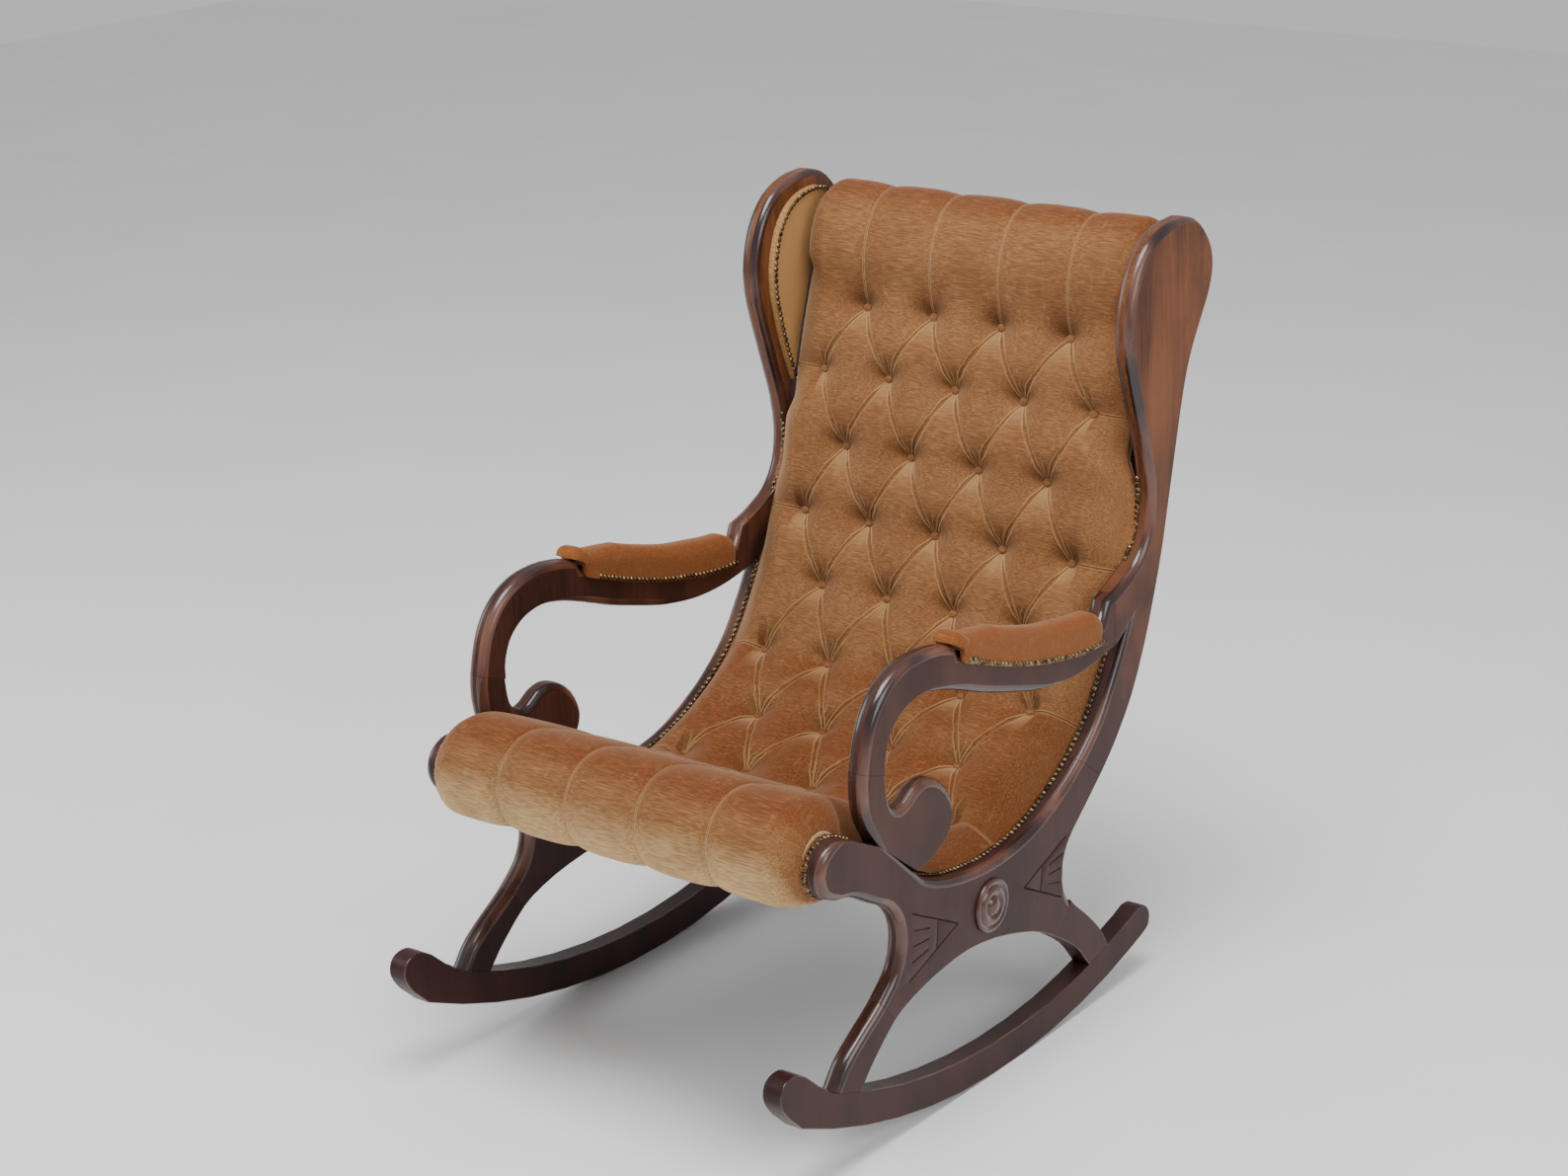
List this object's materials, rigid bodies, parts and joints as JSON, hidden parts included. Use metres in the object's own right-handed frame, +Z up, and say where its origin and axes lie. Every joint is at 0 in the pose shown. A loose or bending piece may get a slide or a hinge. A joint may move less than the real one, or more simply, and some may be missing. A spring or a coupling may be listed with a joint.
{
  "type": "rocking_chair",
  "caption": "Deep-buttoned velvet rocking chair with scroll arms, padded wings and curved runners, on stained hardwood side frames",
  "frame": {"origin": "on the floor, under the middle of the chair's bounding box", "axes": "X across the chair (+X is the sitter's left), -Y the way the sitter faces, +Z up"},
  "size_m": [0.6186, 0.93, 0.989],
  "materials": {
    "stained_wood": "gloss",
    "wing_wood": "gloss",
    "plain_wood": "matte",
    "velvet": "matte",
    "light_velvet": "matte",
    "antique_brass": "satin",
    "webbing": "matte",
    "dust_cloth": "matte"
  },
  "bodies": {
    "root": {"back_padding": "velvet", "back_webbing": "webbing", "bottom_cloth": "dust_cloth", "front_rail": "plain_wood", "front_roll_padding": "velvet", "front_seat_rail": "plain_wood", "head_roll_padding": "velvet", "left_arm": "stained_wood", "left_arm_inner_nails": "antique_brass", "left_arm_outer_nails": "antique_brass", "left_arm_pad": "velvet", "left_arm_scroll": "stained_wood", "left_back_nails": "antique_brass", "left_front_leg": "stained_wood", "left_front_rail_dowel": "plain_wood", "left_front_seat_rail_lower_dowel": "plain_wood", "left_front_seat_rail_upper_dowel": "plain_wood", "left_lumbar_rail_lower_dowel": "plain_wood", "left_lumbar_rail_upper_dowel": "plain_wood", "left_rear_leg": "stained_wood", "left_roll_nails": "antique_brass", "left_rosette": "stained_wood", "left_runner": "stained_wood", "left_seat_nails": "antique_brass", "left_side_rail": "stained_wood", "left_stile": "wing_wood", "left_top_rail_lower_dowel": "plain_wood", "left_top_rail_upper_dowel": "plain_wood", "left_wing_nails": "antique_brass", "left_wing_pad": "light_velvet", "lumbar_padding": "velvet", "lumbar_rail": "plain_wood", "outside_back": "velvet", "right_arm": "stained_wood", "right_arm_inner_nails": "antique_brass", "right_arm_outer_nails": "antique_brass", "right_arm_pad": "velvet", "right_arm_scroll": "stained_wood", "right_back_nails": "antique_brass", "right_front_leg": "stained_wood", "right_front_rail_dowel": "plain_wood", "right_front_seat_rail_lower_dowel": "plain_wood", "right_front_seat_rail_upper_dowel": "plain_wood", "right_lumbar_rail_lower_dowel": "plain_wood", "right_lumbar_rail_upper_dowel": "plain_wood", "right_rear_leg": "stained_wood", "right_roll_nails": "antique_brass", "right_rosette": "stained_wood", "right_runner": "stained_wood", "right_seat_nails": "antique_brass", "right_side_rail": "stained_wood", "right_stile": "wing_wood", "right_top_rail_lower_dowel": "plain_wood", "right_top_rail_upper_dowel": "plain_wood", "right_wing_nails": "antique_brass", "right_wing_pad": "light_velvet", "seat_padding": "velvet", "seat_webbing": "webbing", "top_rail": "plain_wood"}
  },
  "joints": []
}
